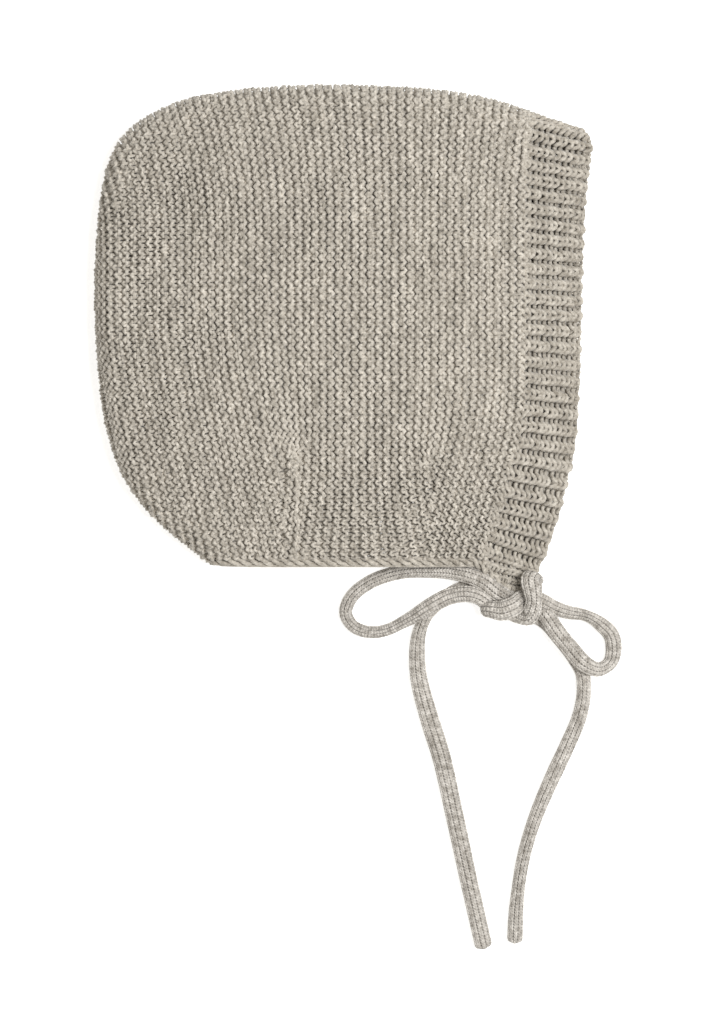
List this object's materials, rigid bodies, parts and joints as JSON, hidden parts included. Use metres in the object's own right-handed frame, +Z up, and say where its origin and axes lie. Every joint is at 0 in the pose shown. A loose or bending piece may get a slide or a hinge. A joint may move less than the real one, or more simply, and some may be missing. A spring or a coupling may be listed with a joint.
{
  "type": "knitted baby bonnet",
  "caption": "Knitted baby bonnet lying on its side: garter-stitch bag open at face and neck, ribbed face band, chain-edged neck, and round-knitted ties in a bow.",
  "frame": {"origin": "on the table under the middle of the bonnet, where its lower layer lies flat", "axes": "+Z up from the table, +X towards the face opening, +Y towards the top of the head"},
  "size_m": [0.1853, 0.3041, 0.028],
  "materials": {
    "garter_knit": "heathered oatmeal wool, matt",
    "rib_knit": "heathered oatmeal wool, matt",
    "edge_knit": "heathered oatmeal wool, matt",
    "cord_knit": "pale heathered wool, matt"
  },
  "bodies": {
    "root": {"bonnet_body": "garter_knit", "face_band": "rib_knit", "neck_edge": "edge_knit", "tie_near": "cord_knit", "tie_far": "cord_knit"}
  },
  "joints": []
}
